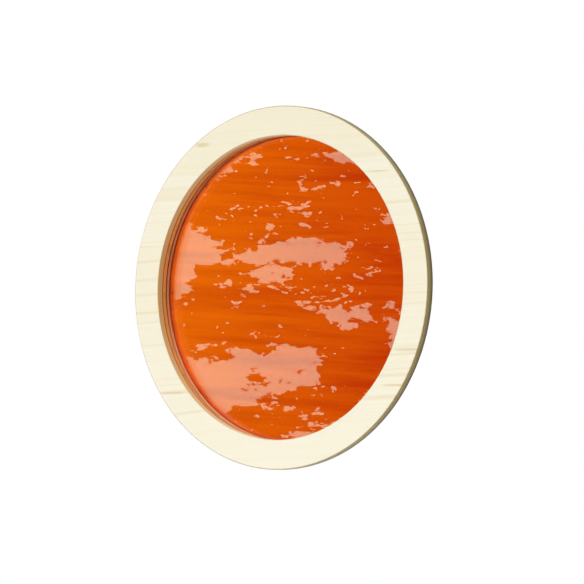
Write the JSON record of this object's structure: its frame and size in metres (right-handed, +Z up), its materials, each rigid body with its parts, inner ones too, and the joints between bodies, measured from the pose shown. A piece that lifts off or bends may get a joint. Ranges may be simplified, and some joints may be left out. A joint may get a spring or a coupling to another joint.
{
  "type": "round window",
  "caption": "Round fixed window with a flat pale wooden face ring, a wooden hoop that passes through the wall and orange double glazing held by a rounded bead.",
  "frame": {"origin": "on the axis of the window, in the plane of the wall's outside face, where the hoop starts behind the face ring", "axes": "+Y along the window's axis towards indoors, -Y out through the face ring, +Z up, +X to the right as seen from outdoors"},
  "size_m": [0.5999, 0.051, 0.6],
  "materials": {
    "face_wood": "pale pine with faint level grain, sealed with a clear matt coat",
    "hoop_wood": "amber stained pine, satin",
    "bead_wood": "light pine, satin",
    "seal_rubber": "dark brown closed-cell foam rubber",
    "inner_seal": "brown closed-cell foam rubber",
    "tape_rubber": "light tan glazing tape",
    "clear_glass": "clear float glass, polished",
    "orange_glass": "orange tinted glass, polished",
    "spacer_plastic": "light tan warm-edge spacer, matt",
    "sealant": "black edge sealant",
    "block_plastic": "black packers, matt",
    "screw_steel": "zinc-plated steel",
    "screw_brass": "brass"
  },
  "bodies": {
    "root": {"face_ring": "face_wood", "hoop": "hoop_wood", "glazing_bead": "bead_wood", "wall_seal": "seal_rubber", "joint_seal": "inner_seal", "front_tape": "tape_rubber", "rear_tape": "tape_rubber", "outer_pane": "clear_glass", "inner_pane": "orange_glass", "spacer_bar": "spacer_plastic", "edge_sealant": "sealant", "setting_blocks": "block_plastic", "ring_screws": "screw_steel", "bead_screws": "screw_brass"}
  },
  "joints": []
}
